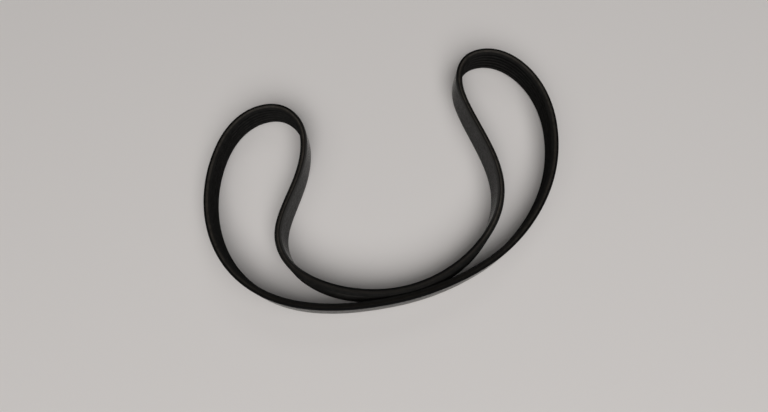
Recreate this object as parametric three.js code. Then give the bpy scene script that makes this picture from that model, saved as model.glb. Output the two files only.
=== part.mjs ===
// Multi-rib serpentine belt: one endless moulded rubber loop, lying on its edge.
// Millimetres, +Z up. The loop stands on its lower cut edge at z = 0, with the
// origin at the centre of its outline on the surface that it stands on.
//
// The section is the standard multi-rib (PK) form: a smooth back on the outside
// of the loop, six V ribs on the inside, and both edges cut square through the
// middle of a valley. It is swept round a closed plan curve: two round lobes
// joined by a long outer run and by an inner run that dips back between them.
import * as THREE from 'three';

// ---- driving dimensions ----------------------------------------------------
const RIBS = 6;               // ribs across the belt
const PITCH = 3.56;           // rib pitch
const WIDTH = RIBS * PITCH;   // 21.36, cut edge to cut edge
const THICK = 4.5;            // smooth back to rib tips
const RIB_DEPTH = 2.4;        // valley to tip
const FLANK = 20;             // degrees, half of the 40 degree rib angle
const TIP_HALF = 0.55;        // half the flat on a rib tip
const EDGE = 0.5;             // worn corner between the back and a cut edge
const CHORD = 0.1;            // largest sag of a facet along the loop
const STEP_MAX = 8.5;         // longest facet along the loop

// Plan of the neutral line: control points of a closed uniform cubic B-spline,
// taken clockwise seen from above, starting under the right-hand lobe.
const PLAN = [
  [34.65, -76.86], [15.86, -83.01], [-3.52, -86.87], [-23.10, -89.43], [-42.92, -89.57],
  [-62.57, -86.59], [-80.97, -78.76], [-96.57, -66.28], [-107.57, -49.56], [-113.76, -30.62],
  [-115.38, -10.78], [-112.75, 8.93], [-105.91, 27.74], [-92.06, 42.74], [-70.60, 47.37],
  [-54.77, 32.76], [-52.63, 11.94], [-56.52, -7.27], [-63.64, -25.61], [-68.81, -45.56],
  [-60.00, -64.20], [-42.69, -75.14], [-23.74, -80.81], [-3.75, -81.48], [15.79, -78.21],
  [34.41, -71.44], [51.37, -60.54], [64.79, -45.92], [74.46, -28.33], [77.08, -8.37],
  [72.23, 11.11], [64.03, 29.14], [55.55, 46.80], [48.93, 65.88], [54.91, 86.82],
  [76.85, 91.39], [94.90, 80.95], [106.94, 65.00], [113.46, 46.03], [115.06, 26.18],
  [112.91, 6.39], [106.76, -12.53], [97.03, -29.85], [84.66, -45.42], [69.65, -58.42],
  [52.57, -68.66],
];

// How far the wall leans from upright along the loop, in degrees, positive when
// the top edge leans towards the smooth back: control values of the same spline.
const LEAN = [
  -0.07, 0.56, 0.86, 0.63, -0.32, -0.11, 0.33, 0.49, 0.48, 0.03, -0.89, -1.73,
  -1.77, -1.14, -0.13, 0.07, -0.81, -2.18, -4.39, -4.34, -0.17, 4.87, 6.56, 2.48,
  -0.80, 1.65, 4.18, 2.26, -0.44, -2.94, -3.51, -2.94, -2.13, -1.19, -0.73, -1.41,
  -2.13, -2.16, -2.43, -2.17, -1.67, -0.95, 0.01, 0.61, 0.65, 0.21,
];

// ---- closed uniform cubic B-spline ------------------------------------------
function weights(t) {
  const a = t * t, b = a * t;
  return [(1 - 3 * t + 3 * a - b) / 6, (4 - 6 * a + 3 * b) / 6, (1 + 3 * t + 3 * a - 3 * b) / 6, b / 6];
}
function slopes(t) {
  const a = t * t;
  return [(-1 + 2 * t - a) / 2, (-4 * t + 3 * a) / 2, (1 + 2 * t - 3 * a) / 2, a / 2];
}
function bends(t) {
  return [1 - t, -2 + 3 * t, 1 - 3 * t, t];
}
function blend(values, u, basis) {
  const n = values.length;
  const s = ((u % 1) + 1) % 1 * n;
  const i = Math.floor(s);
  const w = basis(s - i);
  let sum = 0;
  for (let k = 0; k < 4; k++) sum += w[k] * values[(i + k) % n];
  return sum;
}
const PX = PLAN.map((p) => p[0]);
const PY = PLAN.map((p) => p[1]);

class BeltLine extends THREE.Curve {
  getPoint(u, target = new THREE.Vector3()) {
    return target.set(blend(PX, u, weights), blend(PY, u, weights), 0);
  }
  // unit vector along the loop
  along(u) {
    return new THREE.Vector3(blend(PX, u, slopes), blend(PY, u, slopes), 0).normalize();
  }
  // radius of curvature in the plan
  radius(u) {
    const x = blend(PX, u, slopes), y = blend(PY, u, slopes);
    const xx = blend(PX, u, bends), yy = blend(PY, u, bends);
    return Math.pow(x * x + y * y, 1.5) / Math.max(Math.abs(x * yy - y * xx), 1e-9);
  }
}

// ---- belt section: x is the distance in from the smooth back, y is height ----
function beltSection() {
  const valley = THICK - RIB_DEPTH;
  const reach = RIB_DEPTH * Math.tan(THREE.MathUtils.degToRad(FLANK));
  const s = new THREE.Shape();
  s.moveTo(EDGE, 0);
  s.lineTo(valley, 0);
  for (let i = 0; i < RIBS; i++) {
    const mid = (i + 0.5) * PITCH;
    s.lineTo(valley, mid - TIP_HALF - reach);
    s.lineTo(THICK, mid - TIP_HALF);
    s.lineTo(THICK, mid + TIP_HALF);
    s.lineTo(valley, mid + TIP_HALF + reach);
  }
  s.lineTo(valley, WIDTH);
  s.lineTo(EDGE, WIDTH);
  s.lineTo(0, WIDTH - EDGE);
  s.lineTo(0, EDGE);
  s.closePath();
  const pts = s.getPoints();
  if (pts[0].distanceTo(pts[pts.length - 1]) < 1e-6) pts.pop();
  return pts;
}

// ---- stations along the loop, closer together where it bends more ------------
function stations(line) {
  const m = 4000;
  const sum = [0];
  let last = line.getPoint(0);
  for (let i = 1; i <= m; i++) {
    const here = line.getPoint(i / m);
    const r = line.radius((i - 0.5) / m);
    const step = Math.min(Math.sqrt(8 * CHORD * r), STEP_MAX);
    sum.push(sum[i - 1] + here.distanceTo(last) / step);
    last = here;
  }
  const count = Math.ceil(sum[m]);
  const out = [];
  let j = 0;
  for (let i = 0; i < count; i++) {
    const want = (i / count) * sum[m];
    while (sum[j + 1] < want) j++;
    out.push((j + (want - sum[j]) / (sum[j + 1] - sum[j])) / m);
  }
  return out;
}

// ---- sweep ---------------------------------------------------------------------
function sweepBelt() {
  const line = new BeltLine();
  const section = beltSection();
  const places = stations(line);
  const position = [];
  for (const u of places) {
    const c = line.getPoint(u);
    const a = line.along(u);
    const out = new THREE.Vector3(-a.y, a.x, 0);      // towards the smooth back
    const lean = Math.tan(THREE.MathUtils.degToRad(blend(LEAN, u, weights)));
    for (const p of section) {
      const reach = THICK / 2 - p.x + lean * (p.y - WIDTH / 2);
      position.push(c.x + out.x * reach, c.y + out.y * reach, p.y);
    }
  }
  const n = section.length, m = places.length;
  const index = [];
  for (let i = 0; i < m; i++) {
    const k = (i + 1) % m;
    for (let j = 0; j < n; j++) {
      const l = (j + 1) % n;
      const a = i * n + j, b = k * n + j, c = k * n + l, d = i * n + l;
      index.push(a, b, c, a, c, d);
    }
  }
  const geometry = new THREE.BufferGeometry();
  geometry.setAttribute('position', new THREE.Float32BufferAttribute(position, 3));
  geometry.setIndex(index);
  geometry.computeVertexNormals();
  return geometry;
}

const rubber = new THREE.MeshStandardMaterial({ color: 0x1c1c1e, roughness: 0.6, metalness: 0 });

const belt = new THREE.Mesh(sweepBelt(), rubber);
belt.name = 'serpentine_belt';

const part = new THREE.Group();
part.add(belt);

export default part;
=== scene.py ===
"""Looks of a six-rib serpentine belt that stands on its edge on a plain pale floor.

The belt is swept again, much finer than the CAD solid, round the same closed
plan curve: rounded rib tips and valleys, rounded back corners, and patterns that
follow the run. Everything here is in millimetres until the mesh is made, in metres.
"""

import math

import bpy
import numpy as np
from mathutils import Matrix, Vector


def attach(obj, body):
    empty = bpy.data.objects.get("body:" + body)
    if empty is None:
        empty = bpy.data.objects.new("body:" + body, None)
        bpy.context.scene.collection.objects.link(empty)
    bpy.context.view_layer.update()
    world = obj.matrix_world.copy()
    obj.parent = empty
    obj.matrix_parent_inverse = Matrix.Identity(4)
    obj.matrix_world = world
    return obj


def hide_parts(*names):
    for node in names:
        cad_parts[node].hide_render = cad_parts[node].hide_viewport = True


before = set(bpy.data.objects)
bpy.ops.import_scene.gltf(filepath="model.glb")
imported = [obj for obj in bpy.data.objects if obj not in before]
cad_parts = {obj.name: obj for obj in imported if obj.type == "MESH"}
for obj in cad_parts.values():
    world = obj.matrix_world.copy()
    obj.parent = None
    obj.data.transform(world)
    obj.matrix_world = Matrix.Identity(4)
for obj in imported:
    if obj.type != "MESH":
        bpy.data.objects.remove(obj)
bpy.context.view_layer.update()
scene = bpy.context.scene

# ---- camera: above and in front of the belt, looking down and slightly back ----
TILT = math.radians(16.318)      # from straight down
ROLL = math.radians(-0.482)
EYE = (0.03, -125.09, 363.31)    # mm

forward = Vector((0.0, math.sin(TILT), -math.cos(TILT)))
level_up = Vector((0.0, math.cos(TILT), math.sin(TILT)))
level_right = Vector((1.0, 0.0, 0.0))
up = math.cos(ROLL) * level_up + math.sin(ROLL) * level_right
right = math.cos(ROLL) * level_right - math.sin(ROLL) * level_up

camera_data = bpy.data.cameras.new("camera")
camera_data.sensor_width = 36.0
camera_data.lens = 26.0
camera_data.clip_start = 0.01
camera_data.clip_end = 20.0
camera = bpy.data.objects.new("camera", camera_data)
scene.collection.objects.link(camera)
place = Matrix((right, up, -forward)).transposed().to_4x4()
place.translation = Vector(EYE) / 1000.0
camera.matrix_world = place
scene.camera = camera

# ---- the belt ------------------------------------------------------------------
RIBS = 6
PITCH = 3.56
WIDTH = RIBS * PITCH
THICK = 4.5
RIB_DEPTH = 2.4
FLANK = math.radians(20.0)
TIP_HALF = 0.55
STATIONS = 900

# Control points of a closed uniform cubic B-spline, the neutral line's plan in mm.
PLAN = np.array([
    [34.65, -76.86], [15.86, -83.01], [-3.52, -86.87], [-23.10, -89.43], [-42.92, -89.57],
    [-62.57, -86.59], [-80.97, -78.76], [-96.57, -66.28], [-107.57, -49.56], [-113.76, -30.62],
    [-115.38, -10.78], [-112.75, 8.93], [-105.91, 27.74], [-92.06, 42.74], [-70.60, 47.37],
    [-54.77, 32.76], [-52.63, 11.94], [-56.52, -7.27], [-63.64, -25.61], [-68.81, -45.56],
    [-60.00, -64.20], [-42.69, -75.14], [-23.74, -80.81], [-3.75, -81.48], [15.79, -78.21],
    [34.41, -71.44], [51.37, -60.54], [64.79, -45.92], [74.46, -28.33], [77.08, -8.37],
    [72.23, 11.11], [64.03, 29.14], [55.55, 46.80], [48.93, 65.88], [54.91, 86.82],
    [76.85, 91.39], [94.90, 80.95], [106.94, 65.00], [113.46, 46.03], [115.06, 26.18],
    [112.91, 6.39], [106.76, -12.53], [97.03, -29.85], [84.66, -45.42], [69.65, -58.42],
    [52.57, -68.66],
])

# Lean of the wall along the loop in degrees, the top edge towards the smooth back.
LEAN = np.array([
    -0.07, 0.56, 0.86, 0.63, -0.32, -0.11, 0.33, 0.49, 0.48, 0.03, -0.89, -1.73,
    -1.77, -1.14, -0.13, 0.07, -0.81, -2.18, -4.39, -4.34, -0.17, 4.87, 6.56, 2.48,
    -0.80, 1.65, 4.18, 2.26, -0.44, -2.94, -3.51, -2.94, -2.13, -1.19, -0.73, -1.41,
    -2.13, -2.16, -2.43, -2.17, -1.67, -0.95, 0.01, 0.61, 0.65, 0.21,
])


def blend(values, u, slope=False):
    """The closed B-spline of values at u, or its slope, for an array of u."""
    n = len(values)
    s = np.mod(u, 1.0) * n
    i = np.floor(s).astype(int)
    t = s - i
    if slope:
        w = ((-1 + 2 * t - t * t) / 2, (-4 * t + 3 * t * t) / 2,
             (1 + 2 * t - 3 * t * t) / 2, t * t / 2)
    else:
        w = ((1 - 3 * t + 3 * t * t - t ** 3) / 6, (4 - 6 * t * t + 3 * t ** 3) / 6,
             (1 + 3 * t + 3 * t * t - 3 * t ** 3) / 6, t ** 3 / 6)
    total = 0.0
    for k in range(4):
        v = values[(i + k) % n]
        total = total + (w[k][:, None] * v if v.ndim == 2 else w[k] * v)
    return total


def rounded(corners):
    """Fillets a closed outline. corners: (d, z, radius, segments, zone) with the
    zone of the stretch that leaves the corner, and then the fillet's own zone where
    it isn't half of each side's. Returns points and zones."""
    points, zones = [], []
    n = len(corners)
    for i in range(n):
        d, z, r, seg, zone = corners[i][:5]
        own = corners[i][5] if len(corners[i]) > 5 else None
        here = np.array([d, z])
        before = np.array(corners[i - 1][:2])
        after = np.array(corners[(i + 1) % n][:2])
        arriving = corners[i - 1][4]
        a = (before - here) / np.linalg.norm(before - here)
        b = (after - here) / np.linalg.norm(after - here)
        if r <= 0:
            points.append(here)
            zones.append(zone)
            continue
        half = math.acos(float(np.clip(a @ b, -1, 1))) / 2
        reach = r / math.tan(half)
        middle = here + (a + b) / np.linalg.norm(a + b) * (r / math.sin(half))
        start, end = here + a * reach, here + b * reach
        v0, v1 = start - middle, end - middle
        turn = math.atan2(v0[0] * v1[1] - v0[1] * v1[0], float(v0 @ v1))
        for k in range(seg + 1):
            c, s = math.cos(turn * k / seg), math.sin(turn * k / seg)
            points.append(middle + np.array([c * v0[0] - s * v0[1], s * v0[0] + c * v0[1]]))
            if own is None:
                zones.append(arriving if 2 * k < seg else zone)
            else:
                zones.append(own if k < seg else zone)
    return np.array(points), zones


BACK, EDGE, RIB = 0, 1, 2


def section():
    """Outline of the belt across: d in from the smooth back, z up."""
    valley = THICK - RIB_DEPTH
    reach = RIB_DEPTH * math.tan(FLANK)
    trim = 3.2                                   # how far in the cut edge's finish goes
    down = (THICK - trim) * math.tan(FLANK)
    c = [(0.0, 0.0, 0.8, 5, EDGE, EDGE), (valley, 0.0, 0.15, 2, EDGE)]
    for i in range(RIBS):
        mid = (i + 0.5) * PITCH
        c.append((valley, mid - TIP_HALF - reach, 0.28, 2, RIB if i else EDGE))
        if i == 0:
            c.append((trim, mid - TIP_HALF - down, 0.0, 0, RIB))
        c.append((THICK, mid - TIP_HALF, 0.30, 3, RIB))
        c.append((THICK, mid + TIP_HALF, 0.30, 3, RIB))
        if i == RIBS - 1:
            c.append((trim, mid + TIP_HALF + down, 0.0, 0, EDGE))
        c.append((valley, mid + TIP_HALF + reach, 0.28, 2, RIB if i < RIBS - 1 else EDGE))
    c.append((valley, WIDTH, 0.15, 2, EDGE))
    c.append((0.0, WIDTH, 0.8, 5, BACK, EDGE))
    for k in (0.8, 0.6, 0.4, 0.2):
        c.append((0.0, WIDTH * k, 0.0, 0, BACK))
    return rounded(c)


outline, zones = section()
ACROSS = len(outline)

# stations evenly spaced along the loop
fine = np.linspace(0, 1, 20001)
path = blend(PLAN, fine)
run = np.concatenate([[0.0], np.cumsum(np.linalg.norm(np.diff(path, axis=0), axis=1))])
LENGTH = float(run[-1])
u = np.interp(np.arange(STATIONS) / STATIONS * LENGTH, run, fine)
centre = blend(PLAN, u)
tangent = blend(PLAN, u, slope=True)
tangent /= np.linalg.norm(tangent, axis=1)[:, None]
outward = np.stack([-tangent[:, 1], tangent[:, 0]], axis=1)
lean = np.tan(np.radians(blend(LEAN, u)))
angle = 2 * math.pi * np.arange(STATIONS) / STATIONS

d, z = outline[:, 0], outline[:, 1]
offset = THICK / 2 - d[None, :] + lean[:, None] * (z[None, :] - WIDTH / 2)
co = np.empty((STATIONS, ACROSS, 3))
co[:, :, 0] = centre[:, 0:1] + outward[:, 0:1] * offset
co[:, :, 1] = centre[:, 1:2] + outward[:, 1:2] * offset
co[:, :, 2] = z[None, :]

index = np.arange(STATIONS * ACROSS).reshape(STATIONS, ACROSS)
nxt = np.roll(index, -1, axis=0)
quads = np.stack([index, nxt, np.roll(nxt, -1, axis=1), np.roll(index, -1, axis=1)], axis=2)

mesh = bpy.data.meshes.new("belt")
mesh.from_pydata((co.reshape(-1, 3) / 1000.0).tolist(), [], quads.reshape(-1, 4).tolist())
mesh.polygons.foreach_set("use_smooth", np.ones(len(mesh.polygons), bool))
mesh.polygons.foreach_set("material_index", np.tile(np.array(zones, np.int32), STATIONS))

# The belt as it was made, an unbent ring: patterns follow these and not the bends.
RING = LENGTH / (2 * math.pi)
height = np.tile(z, (STATIONS, 1))
turn_x, turn_y = np.cos(angle)[:, None], np.sin(angle)[:, None]
radius = (RING + THICK / 2 - d)[None, :]
made = np.stack([radius * turn_x, radius * turn_y, height], axis=2)
# The same ring shrunk along the run only, so that a pattern on it comes out long.
radius = (RING / 12.0 + THICK / 2 - d)[None, :]
drawn = np.stack([radius * turn_x, radius * turn_y, height], axis=2)
for name, values in (("made", made), ("drawn", drawn)):
    layer = mesh.attributes.new(name, "FLOAT_VECTOR", "POINT")
    layer.data.foreach_set("vector", values.astype(np.float32).ravel())
# How far in from the smooth back, in mm: across a cut edge, or down into a groove.
layer = mesh.attributes.new("inward", "FLOAT", "POINT")
layer.data.foreach_set("value", np.tile(d, (STATIONS, 1)).astype(np.float32).ravel())
# Painted highlight on the cut edges' pale line: weak near the point below the camera, where the two runs
# lie close together, and stronger the further round the lobes.
painted_line_highlight = np.clip((np.hypot(centre[:, 0], centre[:, 1] + 125.0) - 55.0) / 80.0, 0.0, 1.0)
painted_line_highlight = painted_line_highlight * painted_line_highlight * (3.0 - 2.0 * painted_line_highlight)
# The inner walls of the two lobes, where a painted highlight lightens the back's rounded corners and the pale line
# on the cut edges.
rising = np.clip((0.5 - np.abs(u - np.array([[0.365], [0.635]])) / 0.16) / 0.25, 0.0, 1.0).max(axis=0)
painted_corner_highlight = rising * rising * (3.0 - 2.0 * rising)
# Dust, and painted light that lifts the shade between them, low down on the ribs where the two runs lie close
# together.
near = np.clip((42.0 - np.abs(centre[:, 0] - 6.0)) / 14.0, 0.0, 1.0) * (centre[:, 1] < -50.0)
dust_and_painted_light = near * near * (3.0 - 2.0 * near)
for name, values in (("painted_line_highlight", painted_line_highlight), ("painted_corner_highlight", painted_corner_highlight), ("dust_and_painted_light", dust_and_painted_light)):
    layer = mesh.attributes.new(name, "FLOAT", "POINT")
    layer.data.foreach_set("value", np.repeat(values, ACROSS).astype(np.float32))
mesh.update()
mesh.validate()

belt = bpy.data.objects.new("belt", mesh)
scene.collection.objects.link(belt)


# ---- materials -------------------------------------------------------------------
def material(name, rough, level):
    m = bpy.data.materials.new(name)
    m.use_nodes = True
    t = m.node_tree
    shader = t.nodes["Principled BSDF"]
    shader.inputs["Roughness"].default_value = rough
    shader.inputs["Specular IOR Level"].default_value = level
    return m, t, shader


def attribute(t, name, out="Vector"):
    n = t.nodes.new("ShaderNodeAttribute")
    n.attribute_name = name
    return n.outputs[out]


def noise(t, vector, scale, detail=3.0, rough=0.55):
    n = t.nodes.new("ShaderNodeTexNoise")
    n.inputs["Scale"].default_value = scale
    n.inputs["Detail"].default_value = detail
    n.inputs["Roughness"].default_value = rough
    t.links.new(vector, n.inputs["Vector"])
    return n.outputs["Fac"]


def ramp(t, value, low, high, a=0.0, b=1.0):
    n = t.nodes.new("ShaderNodeMapRange")
    n.interpolation_type = "SMOOTHSTEP"
    n.inputs["From Min"].default_value = low
    n.inputs["From Max"].default_value = high
    n.inputs["To Min"].default_value = a
    n.inputs["To Max"].default_value = b
    t.links.new(value, n.inputs["Value"])
    return n.outputs["Result"]


def math_node(t, op, a, b):
    n = t.nodes.new("ShaderNodeMath")
    n.operation = op
    for k, v in enumerate((a, b)):
        if isinstance(v, (int, float)):
            n.inputs[k].default_value = v
        else:
            t.links.new(v, n.inputs[k])
    return n.outputs[0]


def mix(t, fac, a, b):
    n = t.nodes.new("ShaderNodeMix")
    n.data_type = "RGBA"
    if isinstance(fac, float):
        n.inputs[0].default_value = fac
    else:
        t.links.new(fac, n.inputs[0])
    for k, v in ((6, a), (7, b)):
        if isinstance(v, tuple):
            n.inputs[k].default_value = (*v, 1.0)
        else:
            t.links.new(v, n.inputs[k])
    return n.outputs[2]


def bump(t, height, distance, strength=1.0, under=None):
    n = t.nodes.new("ShaderNodeBump")
    n.inputs["Distance"].default_value = distance
    n.inputs["Strength"].default_value = strength
    t.links.new(height, n.inputs["Height"])
    if under is not None:
        t.links.new(under, n.inputs["Normal"])
    return n.outputs["Normal"]


# smooth back: matt moulded rubber, mottled, with faint lines along the run and a thin
# grey bloom that shows where the wall is seen at a low angle
m_back, t, s = material("belt_back", 0.6, 0.27)
s.inputs["Sheen Weight"].default_value = 0.60
s.inputs["Sheen Roughness"].default_value = 0.16
s.inputs["Sheen Tint"].default_value = (1.0, 0.972, 0.935, 1.0)
v, w = attribute(t, "made"), attribute(t, "drawn")
tone = mix(t, ramp(t, noise(t, v, 0.07, 4.0), 0.35, 0.68), (0.0050, 0.0049, 0.0047), (0.0090, 0.0087, 0.0082))
tone = mix(t, ramp(t, noise(t, v, 0.30, 3.0, 0.6), 0.45, 0.72, 0.0, 0.7), tone, (0.0146, 0.0141, 0.0133))
tone = mix(t, ramp(t, noise(t, w, 1.6, 3.0), 0.48, 0.72, 0.0, 0.5), tone, (0.0220, 0.0211, 0.0198))
t.links.new(tone, s.inputs["Base Color"])
t.links.new(ramp(t, noise(t, v, 0.5, 4.0), 0.3, 0.7, 0.48, 0.64), s.inputs["Roughness"])
n1 = bump(t, noise(t, v, 5.0, 3.0, 0.6), 0.00005)
n2 = bump(t, noise(t, w, 3.0, 2.0), 0.00003, 1.0, n1)
t.links.new(n2, s.inputs["Normal"])

# cut edge: sliced rubber with fine marks along the run and tiny nicks, near black over the back's rounded corners
# (partly painted shade), and a lighter, smoother line beside the ribs, where the knife went through the cord
# layer, which carries a painted highlight; the lobes' inner walls get painted highlights on the corners and the
# line
m_edge, t, s = material("belt_cut_edge", 0.7, 0.09)
v, w = attribute(t, "made"), attribute(t, "drawn")
d_in, line_highlight = attribute(t, "inward", "Fac"), attribute(t, "painted_line_highlight", "Fac")
line = math_node(t, "MULTIPLY", ramp(t, d_in, 1.35, 1.95), ramp(t, d_in, 2.35, 3.0, 1.0, 0.15))
line = math_node(t, "MULTIPLY", line, ramp(t, noise(t, v, 0.40, 4.0, 0.6), 0.30, 0.64, 0.40, 1.0))
# Painted highlight: the pale line grows stronger away from the point below the camera.
line = math_node(t, "MULTIPLY", line, ramp(t, line_highlight, 0.0, 1.0, 0.16, 1.0))
grain = ramp(t, noise(t, w, 2.5, 4.0, 0.65), 0.35, 0.7)
# Near black over the rounded back corners and the outer part of the cut edge: partly painted shade on the corner.
tone = mix(t, ramp(t, d_in, 1.2, 1.7), (0.0012, 0.0011, 0.0010), mix(t, grain, (0.0054, 0.0047, 0.0039), (0.0112, 0.0097, 0.0081)))
# Painted highlight on the rounded back corners along the lobes' inner walls.
corner_highlight_mask = math_node(t, "MULTIPLY", attribute(t, "painted_corner_highlight", "Fac"), ramp(t, d_in, 0.1, 1.5, 1.0, 0.0))
tone = mix(t, corner_highlight_mask, tone, (0.0420, 0.0403, 0.0380))
tone = mix(t, ramp(t, noise(t, v, 1.3, 3.0, 0.7), 0.58, 0.74, 0.0, 0.45), tone, (0.0380, 0.0334, 0.0284))
pale = mix(t, ramp(t, noise(t, w, 4.0, 3.0, 0.7), 0.35, 0.7), (0.0300, 0.0267, 0.0229), (0.0565, 0.0501, 0.0427))
# Painted highlight: the pale line is lighter along the lobes' inner walls.
pale = mix(t, attribute(t, "painted_corner_highlight", "Fac"), pale, (0.0570, 0.0506, 0.0432))
tone = mix(t, line, tone, pale)
t.links.new(tone, s.inputs["Base Color"])
t.links.new(ramp(t, line, 0.0, 1.0, 0.66, 0.48), s.inputs["Roughness"])
n1 = bump(t, noise(t, w, 4.0, 4.0, 0.65), 0.00006)
n2 = bump(t, noise(t, v, 3.0, 3.0, 0.6), 0.00004, 1.0, n1)
t.links.new(n2, s.inputs["Normal"])

# ribs: ground rubber full of short fibres, with painted light on the outer part of the flanks and painted
# shade on the tips and deep in the grooves, and a paler dusty tone low down where the two runs lie close
# together, partly dust and partly painted light that lifts the shade between them
m_ribs, t, s = material("belt_ribs", 0.72, 0.07)
v, d_in = attribute(t, "made"), attribute(t, "inward", "Fac")
patchy = ramp(t, noise(t, v, 0.25, 4.0, 0.6), 0.35, 0.68)
painted_lit_tone = mix(t, patchy, (0.0103, 0.0098, 0.0091), (0.0174, 0.0165, 0.0153))
painted_shade_tone = mix(t, patchy, (0.0008, 0.0008, 0.0008), (0.0026, 0.0025, 0.0024))
# Painted light and shade: the outer flanks light, the tips and the grooves dark.
tone = mix(t, math_node(t, "MULTIPLY", ramp(t, d_in, 3.3, 3.85), ramp(t, d_in, 4.33, 4.49, 1.0, 0.0)), painted_shade_tone, painted_lit_tone)
dust_and_light_tone = mix(t, patchy, (0.0230, 0.0218, 0.0200), (0.0320, 0.0303, 0.0281))
up_z = t.nodes.new("ShaderNodeSeparateXYZ")
t.links.new(v, up_z.inputs[0])
level = math_node(t, "ABSOLUTE", math_node(t, "SUBTRACT", up_z.outputs["Z"], WIDTH / 2), 0.0)
tone = mix(t, ramp(t, level, 9.25, 9.60), tone, mix(t, patchy, (0.0064, 0.0061, 0.0057), (0.0110, 0.0105, 0.0098)))
# Dust, and painted light lifting the shade between the two runs, low on the ribs.
dust_and_light_mask = math_node(t, "MULTIPLY", attribute(t, "dust_and_painted_light", "Fac"), ramp(t, up_z.outputs["Z"], 18.2, 20.2, 1.0, 0.0))
tone = mix(t, dust_and_light_mask, tone, dust_and_light_tone)
tone = mix(t, ramp(t, noise(t, v, 2.4, 3.0, 0.7), 0.60, 0.74, 0.0, 0.5), tone, (0.0320, 0.0308, 0.0288))
t.links.new(tone, s.inputs["Base Color"])
n1 = bump(t, noise(t, v, 3.5, 3.0, 0.65), 0.00006)
t.links.new(n1, s.inputs["Normal"])

for m in (m_back, m_edge, m_ribs):
    mesh.materials.append(m)

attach(belt, "root")
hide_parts("serpentine_belt")

# ---- floor -----------------------------------------------------------------------
floor_mesh = bpy.data.meshes.new("floor")
R = 4.0
floor_mesh.from_pydata([(-R, -R, 0), (R, -R, 0), (R, R, 0), (-R, R, 0)], [], [(0, 1, 2, 3)])
floor = bpy.data.objects.new("floor", floor_mesh)
scene.collection.objects.link(floor)
m_floor, t, s = material("floor_pale", 0.8, 0.1)
s.inputs["Base Color"].default_value = (0.800, 0.767, 0.747, 1.0)
floor_mesh.materials.append(m_floor)


# ---- light -------------------------------------------------------------------------
def area(name, azimuth, elevation, distance, size, power, colour=(1, 1, 1), aim=(0.0, 0.0, 0.01)):
    data = bpy.data.lights.new(name, "AREA")
    data.shape = "DISK"
    data.size = size
    data.energy = power
    data.color = colour
    o = bpy.data.objects.new(name, data)
    scene.collection.objects.link(o)
    a, e = math.radians(azimuth), math.radians(elevation)
    away = Vector((math.cos(a) * math.cos(e), math.sin(a) * math.cos(e), math.sin(e)))
    o.location = Vector(aim) + away * distance
    o.rotation_mode = "QUATERNION"
    o.rotation_quaternion = away.to_track_quat("Z", "Y")
    return o


area("light_front", 280, 52, 2.5, 2.44, 37.4)
area("light_right", 345, 68, 2.5, 1.62, 9.2)
area("light_left", 225, 55, 2.5, 2.44, 10.8, (1.0, 0.985, 0.96))
area("light_back", 75, 45, 2.5, 0.9, 2.2)

world = bpy.data.worlds.new("world")
scene.world = world
world.use_nodes = True
background = world.node_tree.nodes["Background"]
background.inputs["Color"].default_value = (1.0, 1.0, 1.0, 1.0)
background.inputs["Strength"].default_value = 0.02

scene.view_settings.view_transform = "Standard"
